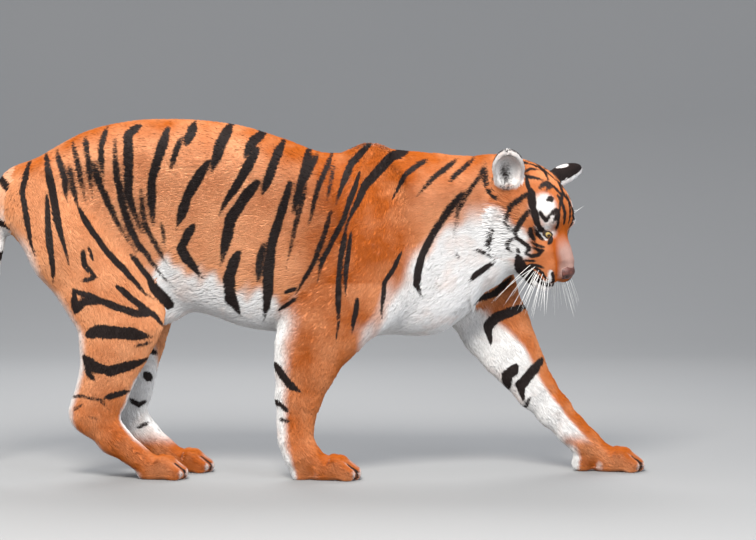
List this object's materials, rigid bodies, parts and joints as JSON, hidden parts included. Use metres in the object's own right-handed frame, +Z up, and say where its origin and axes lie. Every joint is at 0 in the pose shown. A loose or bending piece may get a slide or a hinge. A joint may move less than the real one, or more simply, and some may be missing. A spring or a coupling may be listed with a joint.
{
  "type": "tiger",
  "caption": "Life-size still model of a walking tiger, head turned to its right and lowered, standing flat on its paws.",
  "frame": {"origin": "on the floor, under the middle of the bounding box", "axes": "+X towards the head and chest, +Y to the animal's left, +Z up"},
  "size_m": [2.0422, 0.3545, 0.9101],
  "materials": {
    "coat": "short dense orange fur with black stripes, white on the belly, throat, cheeks and insides of the legs",
    "nose_leather": "bare, slightly moist, finely pebbled, reddish brown",
    "eye": "glossy, amber iris with a round black pupil"
  },
  "bodies": {
    "root": {"ear_left": "coat", "ear_right": "coat", "forearm_left": "coat", "forearm_right": "coat", "forepaw_left": "coat", "forepaw_right": "coat", "head": "coat", "hind_foot_left": "coat", "hind_foot_right": "coat", "hindpaw_left": "coat", "hindpaw_right": "coat", "lower_jaw": "coat", "neck": "coat", "shank_left": "coat", "shank_right": "coat", "tail_base": "coat", "tail_middle": "coat", "tail_tip": "coat", "thigh_left": "coat", "thigh_right": "coat", "trunk": "coat", "upper_arm_left": "coat", "upper_arm_right": "coat", "nose": "nose_leather", "eye_right": "eye", "eye_left": "eye"}
  },
  "joints": []
}
